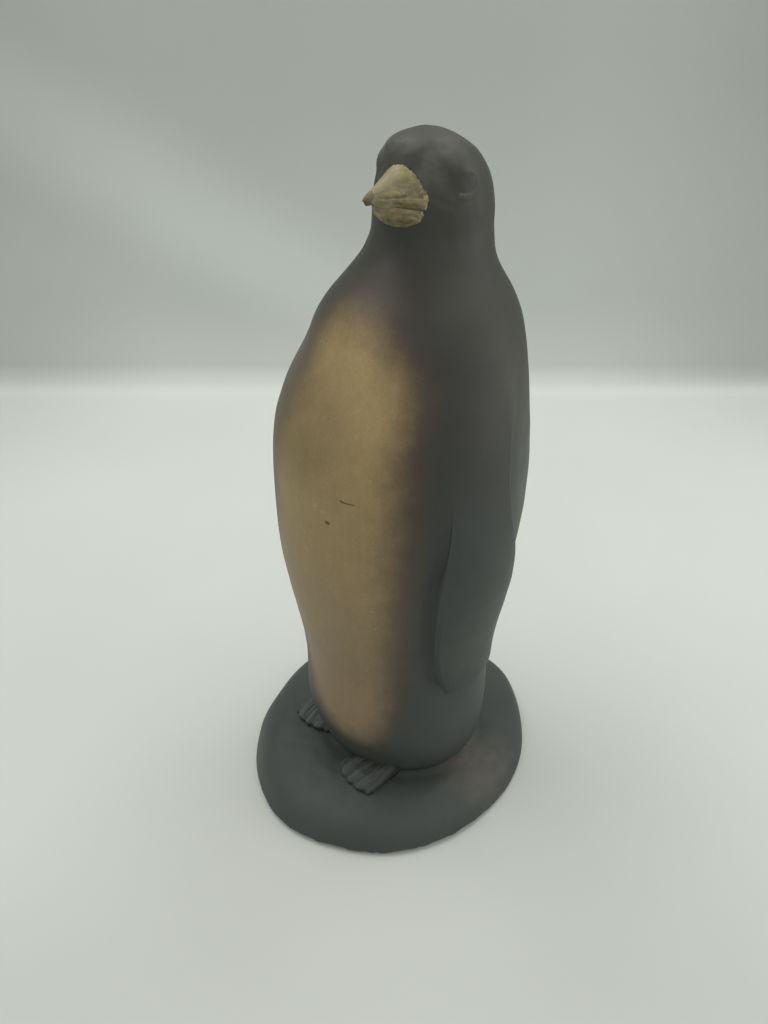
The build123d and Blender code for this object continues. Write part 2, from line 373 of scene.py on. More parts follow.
# Flipper outline: height, turn of the front edge and of the back edge
FLIPPER_EDGES = np.array([
    (61.0, 70.0, 84.0), (61.6, 68.6, 98.0), (62.8, 67.6, 107.0), (65.0, 66.4, 112.0),
    (69.5, 64.4, 114.2), (77.0, 61.8, 113.5), (88.0, 59.6, 111.0), (103.0, 58.2, 108.0),
    (115.0, 57.9, 104.6), (122.0, 58.4, 101.8), (128.0, 59.8, 98.6), (134.0, 60.6, 95.4),
    (144.0, 60.8, 91.8), (155.0, 61.2, 90.6), (166.0, 62.4, 91.8), (177.0, 65.0, 95.5),
    (190.0, 70.0, 99.0), (200.0, 78.0, 96.0),
])
# Channel round the lower end of the flipper
FLIPPER_TIP = [(63.5, 74.0), (66.0, 66.5), (70.0, 60.8), (80.0, 58.8), (95.0, 58.8), (112.0, 61.0)]


def flipper_groove(turn, height, grid, sizes):
    """Shallow channel in front of the flipper's front edge, behind its back
    edge and round its tip, that fades out towards the shoulder."""
    unroll = math.radians(40)
    front, back = look_up(FLIPPER_EDGES, np.clip(height, 64, 199))
    ahead = (front - np.abs(turn)) * unroll
    front_cut = np.where(ahead > 0, bell(ahead - 1.5, 4.5), bell(ahead - 1.5, 3.5))
    front_cut = front_cut * smooth_fall(118, 158, height) * smooth_rise(60, 74, height)
    behind = (np.abs(turn) - back) * unroll
    back_cut = bell(behind - 1.5, 2.6)
    back_cut = back_cut * smooth_rise(110, 130, height) * smooth_fall(178, 196, height)
    tip_cut = bell(drawn_distance(mirrored(grid), FLIPPER_TIP), 1.8)
    return -sizes.groove_depth / MM * (front_cut + 0.7 * back_cut + 0.3 * tip_cut)


def body_piece(sizes):
    """Body, neck and head: rings of the body's sections, closer together on
    the head, moved out along the normals by the carving, the channel round
    the flippers and soft lumps of the casting. Under the seat the rings close
    in to the spigot that holds the body in the plinth."""
    columns, trunk_rows, head_rows, neck_level = 400, 118, 128, 207.0
    low, neck = np.interp((SEAT_LEVEL, neck_level), SECTION_ROWS[:, 0], SECTION_KEYS)
    at = np.concatenate([
        np.linspace(low, neck, trunk_rows, endpoint=False),
        np.linspace(neck, SECTION_KEYS[-1], head_rows),
    ])
    height, half_width, half_depth, setback = (
        np.interp(at, SECTION_KEYS, values)[:, None] for values in SECTION_ROWS.T
    )
    spin = ring_angles(columns)
    turn = signed_degrees(spin)
    grid = np.stack([
        half_width * np.sin(spin),
        setback - half_depth * np.cos(spin),
        np.repeat(height, columns, 1),
    ], -1)
    normals = surface_normals(grid)
    height = grid[..., 2]
    turns = np.broadcast_to(turn, height.shape)
    relief = soft_lumps(grid) + swellings(grid, BODY_SPOTS)
    on_head = height[:, 0] > 212
    head = grid[on_head]
    carving = head_relief(head, sizes) + 0.05 * lumps(head, 5.0, 5)
    relief[on_head] += smooth_rise(214, 219, head[..., 2]) * carving
    groove = flipper_groove(turns, height, grid, sizes)
    relief += groove
    relief -= 0.25 * bell(spot_distance(grid, *DOT_PLACE), 0.9)
    relief -= 0.22 * bell(drawn_distance(grid, SCRATCH_LINE), 0.6)
    # the lower end draws in under its own rolled edge
    relief -= 0.5 * smooth_fall(15.5, 19.0, height)
    grid = grid + relief[..., None] * normals
    # the spigot, as two more rings under the others
    middle, half_width, half_depth, end_level = 4.4, 22.0, 20.2, 4.0
    spigot = np.stack([
        half_width * np.sin(spin), middle - half_depth * np.cos(spin), 0 * spin,
    ], -1)
    grid = np.concatenate([[spigot + (0, 0, end_level), spigot + (0, 0, SEAT_LEVEL)], grid])
    gold, groove = (
        np.pad(values, ((2, 0), (0, 0))) for values in (gold_mask(turns, height), groove)
    )
    # painted shade: dark under the belly, where it meets the plinth, and in the channel before the
    # flipper
    aside = np.abs(turn)
    under_belly = bell(grid[..., 2] - 12.0, 7.5) * (1 - 0.75 * smooth_rise(55, 95, aside))
    in_groove = np.clip(groove / -sizes.groove_depth * MM, 0, 1) * smooth_fall(76, 86, aside)
    painted_shade = np.maximum(0.55 * under_belly, np.minimum(1.25 * in_groove, 1))
    # painted highlights on the brow, the forehead, the cheek and the lids
    both = mirrored(grid)
    painted_highlight = np.maximum.reduce([
        0.44 * bell(drawn_distance(both, BROW_HIGHLIGHT), 3.4),
        0.26 * bell(spot_distance(grid, 18.0, 244.0), 6.0),
        0.95 * bell(spot_distance(grid, 35.5, 239.8), 4.2),
        *(bell(drawn_distance(both, line), 0.5) for line, _, _ in LID_LINES),
    ])
    crown = (0, SECTION_ROWS[-1, 3], CROWN_LEVEL)
    return closed_surface("body_coat", grid, (0, middle, end_level), crown, {
        "gold": gold, "painted_shade": painted_shade, "painted_highlight": painted_highlight,
    })


def flipper_piece(side, sizes):
    """Flipper on one side. Each ring runs over the outer face from the front
    edge to the back edge and returns under the body's surface. The outer face
    stands off the flank by a low arch; its edges are round and crisp low
    down, and melt into the shoulder and the back higher up."""
    rows, outer, inner = 190, 90, 16
    climb = np.linspace(0, 1, rows)
    start, end = FLIPPER_EDGES[[0, -1], 0]
    height = start + (end - start) * (0.45 * climb**2.2 + 0.55 * climb)
    # the tip's corners stay sharper than the smooth curve through the rest
    smooth_edges = smooth_curve(FLIPPER_EDGES[3:, 0], FLIPPER_EDGES[3:, 1:], height)
    tip_edges = np.stack(look_up(FLIPPER_EDGES, height), -1)
    share = smooth_rise(61.5, 68.0, height)[:, None]
    front, back = (tip_edges * (1 - share) + smooth_edges * share).T[..., None]
    height = height[:, None]
    across = (1 - np.cos(np.linspace(0, math.pi, outer))) / 2
    turn = front + (back - front) * across
    thick = sizes.flipper_stand / MM * quarter_round((height - start + 0.25) / 4.0)
    thick = thick * (1 + 0.12 * bell(height - 108, 14))
    thick = thick * (1 - 0.45 * smooth_rise(122, 165, height)) * smooth_fall(152, 188, height)
    arch = 0.38 + 0.46 * np.sin(math.pi * across) + 0.24 * across
    soft = smooth_rise(98, 124, height)
    round_front = quarter_round(across / (0.19 + 0.26 * soft)) ** 2
    crisp_back = quarter_round((1 - across) / 0.06)
    melt = smooth_rise(112, 146, height)
    stand = thick * crisp_back * ((1 - melt) * arch * round_front + melt * 0.66 * across**2.2)
    # a thin raised border along the front edge
    border = 0.13 * bell(across - 0.05, 0.022) - 0.08 * bell(across - 0.12, 0.04)
    stand = stand + border * smooth_fall(98, 118, height) * smooth_rise(66, 80, height)
    # the front edge runs down into the channel before it
    stand = stand - 0.75 * smooth_fall(0, 0.06 + 0.12 * soft, across) * (1 - melt)
    # over the shoulder the face sinks away under the body's own surface
    held = across**2 * smooth_fall(168, 186, height)
    stand = stand - 0.06 * melt - 0.4 * smooth_rise(148, 194, height) * (1 - 0.9 * held)
    lining_turn = back + (front - back) * np.linspace(0.03, 0.97, inner)
    lining = flank(lining_turn, height, -1.8)
    grid = np.concatenate([flank(turn, height, stand), lining], axis=1)
    grid = grid + soft_lumps(grid)[..., None] * surface_normals(grid)
    gold = gold_mask(side * turn, np.broadcast_to(height, turn.shape))
    return closed_surface(f"{hand(side)}_flipper_coat", grid, masks={
        "gold": widened(gold, inner),
    }, side=side)


# Bill sections: share of the length from the face to the tip, and shares of
# the half width and of the height above the axis
BILL_SECTIONS = np.array([
    (0.00, 1.00, 1.00), (0.15, 0.885, 0.845), (0.30, 0.765, 0.695), (0.58, 0.495, 0.42),
    (0.80, 0.275, 0.235), (0.93, 0.125, 0.115), (1.00, 0.04, 0.04),
])
BILL_HALF_WIDTH = 9.4
BILL_RISE = 8.9
BILL_LEVEL = 232.2
BILL_TIP = np.array([-0.9, -14.0, 232.7])
BILL_ROOT_X = 0.9
LOWER_BILL_HALF_WIDTH = 8.5
LOWER_BILL_FRONT = -8.6
LOWER_BILL_DROP = 5.2
GAPE_ROOT = 228.8
GAPE_SLOPE = 0.21


def face_y(x, z):
    """Place along Y of the head's front at a side place and a height, on the
    body's ellipse."""
    half_width, half_depth, setback = look_up(SECTION_ROWS, z)
    return setback - half_depth * np.sqrt(np.clip(1 - (x / half_width) ** 2, 0, 1))


def mouth_level(y):
    """Height of the mouth line, which rises gently towards the tip."""
    return GAPE_ROOT + GAPE_SLOPE * np.clip(-y, -4, 20)


def upper_bill_piece(sizes):
    """Upper half of the bill. A ring runs from the left corner of the mouth
    up the side, over the ridge and down to the right corner, and back along
    the mouth line. Each point goes in a straight line from the head's front
    to the tip while the ring shrinks by the bill's sections. Over the flanks
    go wavy shallow folds that gather at the tip, the tip is a smooth nail and
    the root has a crumbled rim."""
    rows, side_points, wall, under = 130, 51, 12, 30
    a = np.concatenate([[-0.30, -0.12], np.linspace(-0.04, 1, rows - 2)])[:, None]
    share = np.clip(a, 0, 1)
    wide, up = smooth_curve(BILL_SECTIONS[:, 0], BILL_SECTIONS[:, 1:], share[:, 0]).T[..., None]
    x_side = np.sin(np.linspace(1, 0, side_points) * math.pi / 2)
    z_side = 1 - 0.24 * x_side - 0.76 * x_side**2.4
    half = np.stack([x_side, z_side])
    loop_x, loop_z = np.concatenate([half, (half * [[-1], [1]])[:, -2::-1]], 1)
    # the root lies on the head's front, and the rows before it inside the head
    root_y = face_y(BILL_HALF_WIDTH * loop_x, BILL_LEVEL + BILL_RISE * loop_z)
    y = root_y * (1 - share) + BILL_TIP[1] * share - 9.0 * np.minimum(a, 0)
    x = BILL_HALF_WIDTH * wide * loop_x
    z = BILL_LEVEL + (BILL_TIP[2] - BILL_LEVEL) * share + BILL_RISE * up * loop_z
    # walls down to the mouth line on both sides
    corner_x, corner_y, corner_z = x[:, :1], y[:, :1], z[:, :1]
    mouth = mouth_level(corner_y) + 0.35 * np.sin(share * 6.5) * share * (1 - share) * 4
    mouth = mouth - 0.35 * smooth_rise(0.55, 0.80, share) + 1.2 * smooth_rise(0.76, 1.0, share)
    down = np.linspace(0, 1, wall + 1)[1:]
    left = np.stack([
        corner_x * (1 - 0.10 * down**2),
        np.repeat(corner_y, wall, 1),
        corner_z + (mouth - corner_z) * down,
    ], -1)
    outer = np.concatenate([left[:, ::-1], np.stack([x, y, z], -1), left * (-1, 1, 1)], 1)
    closing = np.linspace(-0.97, 0.97, under)
    lining = np.stack([
        corner_x * 0.90 * closing,
        np.repeat(corner_y, under, 1),
        mouth + 0.5 * (1 - closing**2),
    ], -1)
    grid = np.concatenate([outer, lining], 1)
    # b goes from 0 on the ridge to 1 at the mouth's edge
    b = np.abs(np.linspace(-1, 1, outer.shape[1]))
    spot = outer * (1, 0.55, 1)
    waves = b * (2.7 + 0.5 * share) + 0.12 * lumps(spot, 5.5, 21) + 0.03 * lumps(spot, 2.4, 24)
    fold = 0.5 + 0.5 * np.sin(waves * 2 * math.pi)
    band = smooth_rise(0.24, 0.42, b) * smooth_fall(0.90, 0.99, b)
    bow = share + 0.09 * np.cos(b * 2.6) - 0.02 * lumps(spot, 4.0, 25)
    nail = smooth_rise(0.845, 0.865, bow)
    grow = smooth_rise(0.0, 0.10, a) * (1 - 0.5 * smooth_rise(0.45, 0.8, share))
    uneven = smooth_rise(-0.6, 0.7, lumps(spot, 4.2, 27))
    relief = sizes.ridge_depth / MM * (fold - 0.55) * band * (1 - nail) * grow
    relief = relief * (0.6 + 0.4 * uneven)
    # the nail stands a little proud behind a fine groove
    relief = relief + 0.06 * nail - 0.10 * bell(bow - 0.842, 0.02)
    crumbs = lumps(outer, 0.9, 22)
    ragged = a + 0.020 * crumbs + 0.02 * lumps(outer, 4.5, 26)
    rim = smooth_fall(0.014, 0.045, ragged)
    relief = relief + sizes.rim_stand / MM * rim * (0.7 + 0.5 * crumbs)
    relief = relief + 0.07 * lumps(outer, 1.1, 23) * band * (1 - nail)
    relief = relief - 0.08 * bell(ragged - 0.10, 0.03) * band
    # the mouth's edge of the upper half is rounded under
    relief = relief - 0.30 * smooth_rise(0.90, 1.0, b) * (1 - rim)
    relief = relief * smooth_fall(0.93, 1.0, share)
    grid = grid + widened(relief, under)[..., None] * surface_normals(grid)
    grid[..., 0] += BILL_ROOT_X + (BILL_TIP[0] - BILL_ROOT_X) * share
    hollow = (0.35 + 0.65 * uneven) * (1 - fold) * band * (1 - nail)
    return closed_surface("upper_bill_coat", grid, high=BILL_TIP - (0.05, 0.30, 0.35), masks={
        "hollow": widened(hollow, under, 1),
        "nail": widened(nail, under, 1),
        "rim": widened(rim, under),
        "ridge": widened(smooth_fall(0.17, 0.30, b) * (1 - nail), under),
    })


def lower_bill_piece():
    """Lower half of the bill: a blunt bowl under the mouth line, shorter than
    the upper half, with faint folds that run along the mouth line."""
    rows, under, over = 90, 120, 24
    a = np.concatenate([[-0.50, -0.2], np.linspace(-0.08, 1, rows - 2)])[:, None]
    share = np.clip(a, 0, 1)
    blunt = np.sqrt(np.clip(1 - share**3.2, 0.0, 1))
    s = np.linspace(-1, 1, under)
    root_x = LOWER_BILL_HALF_WIDTH * np.sin(s * math.pi / 2)
    cup = np.abs(np.cos(s * math.pi / 2)) ** 0.80
    root_y = face_y(root_x, GAPE_ROOT - LOWER_BILL_DROP * cup)
    y = root_y * (1 - share) + LOWER_BILL_FRONT * share - 8.0 * np.minimum(a, 0)
    x = root_x * (1 - 0.42 * share**1.3) * (0.18 + 0.82 * blunt)
    middle = mouth_level(y) + 0.30
    z = middle - LOWER_BILL_DROP * cup * (1 - 0.22 * share) * (0.12 + 0.88 * blunt)
    outer = np.stack([x, y, z], -1)
    lining = np.stack([
        x[:, -1:] * np.linspace(0.98, -0.98, over),
        np.repeat(y[:, :1], over, 1),
        np.repeat(middle[:, :1], over, 1),
    ], -1)
    grid = np.concatenate([outer, lining], 1)
    crumbs = lumps(outer, 1.5, 32)
    waves = 2.7 * (mouth_level(y) - z) / LOWER_BILL_DROP + 0.12 * lumps(outer, 5.0, 31)
    fold = 0.5 + 0.5 * np.sin(2 * math.pi * waves)
    rim = smooth_fall(0.03, 0.09, a + 0.05 * crumbs)
    relief = 0.14 * (fold - 0.5) * smooth_fall(0.5, 0.95, share) + 0.05 * crumbs + 0.30 * rim
    relief = relief * smooth_fall(0.90, 1.0, np.abs(s)) * smooth_fall(0.8, 1.0, share)
    grid = grid + widened(relief, over)[..., None] * surface_normals(grid)
    grid[..., 0] += BILL_ROOT_X - 0.5 * share
    return closed_surface("lower_bill_coat", grid, high=grid[-1].mean(0) - (0, 0.2, 0), masks={
        "hollow": widened(0.20 + 0.5 * (1 - fold), over, 1),
        "low_half": 1.0,
        "rim": widened(0.7 * rim, over),
    })


EYE_TURN = 76.0
EYE_LEVEL = 235.9
EYE_RADIUS = 2.85


def eye_piece(side):
    """Eye bead: a ball whose rings run from its buried pole to its outer one,
    with a fine ring cut round the iris."""
    centre = flank(EYE_TURN, EYE_LEVEL, -2.60)
    turn = math.radians(EYE_TURN)
    outward = np.array([math.sin(turn), -math.cos(turn), 0.12])
    outward /= np.linalg.norm(outward)
    across = np.array([-outward[1], outward[0], 0]) / math.hypot(outward[0], outward[1])
    upward = np.cross(outward, across)
    tilt = np.linspace(math.pi, 0, 58)[1:-1][:, None, None]
    spin = ring_angles(64)[:, None]
    radius = EYE_RADIUS - 0.03 * bell(tilt - 0.40, 0.12)
    sideways = np.cos(spin) * across + np.sin(spin) * upward
    grid = centre + radius * (np.cos(tilt) * outward + np.sin(tilt) * sideways)
    low, high = centre - EYE_RADIUS * outward, centre + (EYE_RADIUS - 0.1) * outward
    return closed_surface(f"{hand(side)}_eye_bead", grid, low, high, side=side)


# Feet: how far aside and forward the toes' end is, their turn inwards, a seed for the wrinkles,
# and how much painted light lifts the toes, most on the far foot in the body's shade
FEET = {
    "left_foot": (9.0, 38.0, -14.0, 51, 0.33),
    "right_foot": (-25.8, 27.0, -3.0, 61, 1.0),
}


def foot_piece(name, aside, reach, toe_in, seed, toe_lift):
    """Webbed foot. Rows run from the heel to the toes, and a ring runs over
    the top from one side to the other and back under it, inside the plinth.
    The top has low rounded toes with webs between them and finer wrinkles along them, and the
    front edge bulges a little at the end of each of the toes. Painted shade darkens the webs and
    the heel, under the body, and painted light lifts the toes."""
    length, span, rise, bed = 25.0, 19.5, 5.8, 2.0
    rows, over, under = 110, 150, 24
    a = np.linspace(0, 1, rows)[:, None]
    b = np.linspace(1, -1, over)
    toes = 0.5 + 0.5 * np.cos(2 * math.pi * (1.85 * b + 0.06 * np.sin(5 * b)))
    bulge = 0.9 * toes**0.7 - 2.6 * b**2 - 0.8 * b
    local = -length + a * (length + bulge)
    width = np.interp(a, (0, 0.5, 0.88, 1), (0.62, 0.86, 1.0, 0.96)) * span / 2
    across = width * b
    fall = np.interp(a, (0, 0.5, 0.8, 0.93, 0.985, 1), (1, 0.88, 0.60, 0.38, 0.20, 0.0))
    top = rise * fall * (0.22 + 0.78 * (1 - np.abs(b) ** 6) ** 0.5)
    depth = np.interp(a, (0, 0.4, 0.85, 1), (0.3, 0.8, 1.0, 0.4))
    top = top - 0.42 * depth * (1 - toes**0.7)
    spot = np.stack([across, local, 0 * across], -1)
    wrinkle = np.sin(2 * math.pi * (4.9 * b + 0.25 * lumps(spot * (1, 0.35, 1), 9.0, seed)))
    top = top + 0.11 * depth * wrinkle + 0.12 * lumps(spot * (1, 0.6, 1), 3.2, seed + 1)
    outer = np.stack([across, local, np.maximum(top, -0.4)], -1)
    back = np.linspace(-0.97, 0.97, under)
    flat_local = -length + a * (length + np.interp(back, b[::-1], bulge[::-1]))
    lining = np.stack([width * back, flat_local, np.full(flat_local.shape, -bed)], -1)
    grid = np.concatenate([outer, lining], axis=1)
    # turned about the toes' end, by rows that say where each axis goes
    turn = math.radians(toe_in)
    axes = [
        (math.cos(turn), math.sin(turn), 0), (math.sin(turn), -math.cos(turn), 0), (0, 0, 1),
    ]
    grid = (aside, -reach, PLINTH_TOP) + grid @ np.array(axes)
    # painted shade in the webs and towards the heel, under the body, and painted light that lifts
    # the toes
    heel = 0.9 * smooth_fall(0.45, 0.90, a)
    return closed_surface(name, grid, masks={
        "hollow": widened(np.maximum(1 - toes, heel), under, 1),
        "toe_light": toe_lift * smooth_rise(0.35, 0.90, a),
    })


def tail_piece():
    """Tail: flattened rings along a line that slopes down and back from the
    lower back, narrower towards the tip, with shallow feather channels."""
    rows, columns, length, half_width, half_height = 70, 128, 18.0, 14.0, 4.5
    slope = math.radians(56.0)
    way = np.array([0, math.cos(slope), -math.sin(slope)])
    thin_way = np.array([0, -math.sin(slope), -math.cos(slope)])
    along = np.linspace(-0.5, 1.0, rows)[:, None]
    end = quarter_round((1.005 - along) / 0.205)
    keys = (-0.5, 0, 0.55, 1)
    wide = half_width * np.interp(along, keys, (1.0, 1.0, 0.84, 0.56)) * (0.25 + 0.75 * end)
    thin = half_height * np.interp(along, keys, (1.0, 1.0, 0.78, 0.46)) * (0.12 + 0.88 * end)
    flare = bell(along + 0.08, 0.16)
    spin = ring_angles(columns)
    ring_x, ring_t = (np.sign(part) * np.abs(part) ** 0.9 for part in (np.cos(spin), np.sin(spin)))
    x = (wide + 1.2 * flare) * ring_x
    feathers = 0.30 * np.cos(x * 1.35) * smooth_rise(0.05, 0.4, along)
    t = (thin + 1.4 * flare) * ring_t + feathers * np.abs(ring_t) ** 0.5 * np.sign(ring_t)
    grid = flank(180.0, 39.0) + t[..., None] * thin_way + (along * length)[..., None] * way
    grid[..., 0] += x
    return closed_surface("tail_coat", grid, high=grid[-1].mean(0) + 0.25 * way)


PLINTH_MIDDLE = (-4.2, 2.8)
PLINTH_HALF_WIDTH = 58.25
PLINTH_HALF_DEPTH = 65.0
# Plinth outline: shares of its half width and half depth at equal turns from
# the front round by the left side
PLINTH_OUTLINE = np.array([
    1.00, 0.985, 1.00, 1.00, 1.00, 1.00, 0.992, 1.02,
    1.00, 0.995, 0.99, 0.99, 1.00, 0.965, 0.965, 0.98,
])
# Plinth profile: height, and how far the outline draws in
PLINTH_PROFILE = np.array([
    (0.0, 1.0), (1.6, 0.0), (5.1, 0.45), (8.8, 2.4), (12.2, 7.5),
    (14.6, 15.5), (15.7, 23.2), (PLINTH_TOP, 30.4),
])
# Chips of the lower edge: turn round the outline, width in degrees and depth
PLINTH_CHIPS = [
    (-33.0, 2.0, 0.9), (-3.0, 2.6, 1.2), (11.0, 2.0, 1.0), (26.0, 1.2, 0.6), (49.0, 1.6, 1.0),
    (55.0, 1.2, 0.8), (61.0, 1.4, 0.9), (66.0, 1.0, 0.9), (73.0, 1.8, 1.1), (82.0, 1.6, 1.0),
    (120.0, 4.0, 0.9), (-110.0, 4.0, 1.0), (170.0, 3.0, 0.8), (-74.0, 2.5, 0.8),
    (-150.0, 2.5, 0.9),
]


def plinth_piece(sizes):
    """Plinth: rings of the pebble outline from the middle of the underside,
    up the side and in over the domed top. The lower lip is ragged, with
    chips. A trough runs round the foot of the body, under which the top drops
    to the seat."""
    columns, cap_rows, seat = 480, 22, SEAT_LEVEL - 0.2
    spin = ring_angles(columns)
    count = len(PLINTH_OUTLINE)
    keys = np.arange(-count, 2 * count + 1) * (2 * math.pi / count)
    share = smooth_curve(keys, np.tile(PLINTH_OUTLINE, 4)[:len(keys)], spin)
    length = length_along(PLINTH_PROFILE)
    profile = smooth_curve(length, PLINTH_PROFILE, np.linspace(0, 1, 64) * length[-1])
    domed = np.minimum(profile[:, 0], PLINTH_TOP)
    levels = np.concatenate([[0, 0, 0], domed, np.full(cap_rows, PLINTH_TOP)])[:, None]
    insets = np.concatenate([[40, 12, 3.0], profile[:, 1], np.linspace(31.2, 50, cap_rows)])
    insets = insets[:, None]
    upper = levels > 1
    outward = np.stack([np.sin(spin), -np.cos(spin), 0 * spin], -1)
    grid = np.stack([
        PLINTH_MIDDLE[0] + (share * PLINTH_HALF_WIDTH - insets) * np.sin(spin),
        PLINTH_MIDDLE[1] - (share * PLINTH_HALF_DEPTH - insets) * np.cos(spin),
        np.repeat(levels, columns, 1),
    ], -1)
    # ragged lip and its chips
    lip = smooth_fall(0.6, 2.6, levels)
    lip[:2] = 0
    ring = 60 * outward
    rough = 0.28 * lumps(ring, 9.0, 41) + 0.16 * lumps(ring, 3.2, 42)
    turn = signed_degrees(spin)
    chips = sizes.chip_depth / MM * sum(
        depth * bell((turn - at + 180) % 360 - 180, width) ** 0.5
        for at, width, depth in PLINTH_CHIPS
    )
    push = lip * (rough - 0.25 - chips * (0.7 + 0.3 * lumps(ring, 2.0, 43)))
    grid = grid + push[..., None] * outward
    # soft lumps of the casting on the side and top
    above = smooth_rise(1.5, 5.0, grid[..., 2])
    soft = 0.30 * lumps(grid, 26.0, 44) + 0.10 * lumps(grid, 8.0, 45) - 0.12
    grid[..., 2] += above * soft * smooth_rise(3.0, 14.0, insets)
    push = above * (0.35 * lumps(grid, 30.0, 46) - 0.25) * smooth_fall(2.0, 12.0, insets)
    grid = grid + push[..., None] * outward
    # trough round the body and the seat under it; out is about how far a
    # point lies outside the body's foot
    foot_y, foot_half_width, foot_half_depth = 4.3, 34.2, 31.6
    across = np.hypot(grid[..., 0] / foot_half_width, (grid[..., 1] - foot_y) / foot_half_depth)
    out = (across - 1) * 33.0
    trough = 0.8 * bell(out - 1.0, 3.4) + bell(out - 2.0, 9.0) + 3.2 * smooth_fall(-6.5, -3.0, out)
    grid[..., 2] -= smooth_rise(5.0, 13.0, insets) * upper * trough
    grid[..., 2] = np.maximum(grid[..., 2], np.where((insets > 12) & upper, seat, 0.0))
    # painted light that lifts the shade in and beside the trough round the body
    painted_trough_light = np.clip(0.75 * bell(out - 0.5, 4.5) + 0.25 * bell(out - 2.0, 11.0), 0, 1) * upper
    low, high = (*PLINTH_MIDDLE, 0.0), (*PLINTH_MIDDLE, seat)
    return closed_surface("plinth_coat", grid, low, high, {"painted_trough_light": painted_trough_light})


# Materials

class Paint:
    """Node material in the making. A value is a number or a socket, and a
    colour is three numbers or a socket. Places are in millimetres."""

    def __init__(self, name):
        self.material = bpy.data.materials.new(name)
        self.material.use_nodes = True
        self.tree = self.material.node_tree
        self.tree.nodes.clear()
        surface = self.add("BsdfPrincipled")
        self.shader = surface.node
        self.add("OutputMaterial", {0: surface}, output=None)
        place_on = self.add("TexCoord", output="Object")
        self.spot = self.add("VectorMath", {0: place_on, "Scale": 1 / MM}, operation="SCALE")
        self.x, self.y, self.z = self.add("SeparateXYZ", {0: self.spot}).node.outputs

    def feed(self, target, value):
        """Links an input to a socket, or sets it to anything else."""
        if isinstance(value, bpy.types.NodeSocket):
            self.tree.links.new(value, target)
        else:
            target.default_value = value

    def add(self, kind, inputs=None, output=0, **settings):
        """Adds a node with its settings and inputs, and gives one output."""
        made = self.tree.nodes.new("ShaderNode" + kind)
        for key, value in settings.items():
            setattr(made, key, value)
        for key, value in (inputs or {}).items():
            self.feed(made.inputs[key], value)
        return None if output is None else made.outputs[output]

    def maths(self, operation, *values):
        """One sum on values."""
        return self.add("Math", dict(enumerate(values)), operation=operation)

    def times(self, *values):
        """The values multiplied, in their order."""
        return reduce(lambda first, second: self.maths("MULTIPLY", first, second), values)

    def plus(self, *values):
        """The values added, in their order."""
        return reduce(lambda first, second: self.maths("ADD", first, second), values)

    def minus(self, first, second):
        """The first value less the second."""
        return self.maths("SUBTRACT", first, second)

    def total(self, *parts):
        """Sum of values, each times its weight."""
        return self.plus(*(self.times(*part) for part in parts))

    def noise(self, size, detail=3.0, roughness=0.55, spot=None):
        """Noise about size millimetres across, from 0 to 1."""
        return self.add("TexNoise", {
            "Vector": spot or self.spot, "Scale": 1 / size, "Detail": detail,
            "Roughness": roughness,
        }, "Fac")

    def mask(self, name):
        """Number per point that the piece's mesh carries."""
        return self.add("Attribute", output="Fac", attribute_name=name)

    def fade(self, value, low, high, start=0.0, end=1.0):
        """Smooth change from start to end as value goes from low to high."""
        return self.add("MapRange", {
            "Value": value, "From Min": low, "From Max": high, "To Min": start, "To Max": end,
        }, "Result", interpolation_type="SMOOTHSTEP")

    def vary(self, noise, start, end):
        """Smooth change from start to end over the usual range of a noise."""
        return self.fade(noise, 0.2, 0.8, start, end)

    def swing(self, noise, size):
        """The noise about nought, size wide."""
        return self.times(self.minus(noise, 0.5), size)

    def mix(self, share, first, second):
        """Number between two numbers."""
        return self.add("Mix", {"Factor": share, 2: first, 3: second})

    def blend(self, share, *colours):
        """Colour between two colours."""
        first, second = (
            colour if isinstance(colour, bpy.types.NodeSocket) else (*colour, 1.0)
            for colour in colours
        )
        return self.add("Mix", {"Factor": share, 6: first, 7: second}, 2, data_type="RGBA")

    def shade(self, colour, value):
        """Colour made lighter or darker by a value."""
        return self.add("VectorMath", {0: colour, "Scale": value}, operation="SCALE")

    def vector(self, operation, first, second, output=0):
        """One sum on two places."""
        return self.add("VectorMath", {0: first, 1: second}, output, operation=operation)

    def distance(self, place):
        """Distance from a place."""
        return self.vector("DISTANCE", self.spot, tuple(place), "Value")

    def along(self, way):
        """How far out a point lies along a direction."""
        return self.vector("DOT_PRODUCT", self.spot, way, "Value")

    def run_distance(self, start, end):
        """Distance from a straight run."""
        run = end - start
        off = self.vector("SUBTRACT", self.spot, tuple(start))
        ahead = self.vector("DOT_PRODUCT", off, tuple(run), "Value")
        share = self.add("Math", {0: ahead, 1: run @ run}, operation="DIVIDE", use_clamp=True)
        return self.vector("DISTANCE", off, self.shade(tuple(run), share), "Value")

    def finish(self, inputs, relief, height, strength):
        """Sets the shader's inputs and its fine relief, height millimetres
        high, and gives the material."""
        bump = {"Height": relief, "Distance": height * MM, "Strength": strength}
        for key, value in {**inputs, "Normal": self.add("Bump", bump)}.items():
            self.feed(self.shader.inputs[key], value)
        return self.material


def dark_coat(paint, colours):
    """Dark paint: warm on the head and breast and cooler below, with soft
    uneven patches and a fine grain. Gives its colour and two of its noises."""
    patches = paint.noise(34.0)
    cloud = paint.noise(7.0, 4.0)
    grain = paint.noise(0.7, 3.0, 0.7)
    warm = paint.fade(paint.plus(paint.z, paint.swing(patches, 60.0)), 120.0, 195.0)
    base = paint.blend(warm, colours.coat_cool, colours.coat_warm)
    tone = paint.fade(patches, 0.25, 0.75, 0.90, 1.10)
    tone = paint.plus(tone, paint.vary(cloud, -0.05, 0.05), paint.vary(grain, -0.07, 0.07))
    return paint.shade(base, tone), cloud, grain


# Bare marks on the breast: start and end, and how far they reach in full and
# at all
BARE_MARKS = [
    ((15.5, 150.8), (16.4, 150.2), 0.20, 0.46),
    ((16.4, 150.2), (21.3, 150.0), 0.13, 0.36),
    ((8.6, 141.2), (9.5, 141.0), 0.45, 0.75),
]


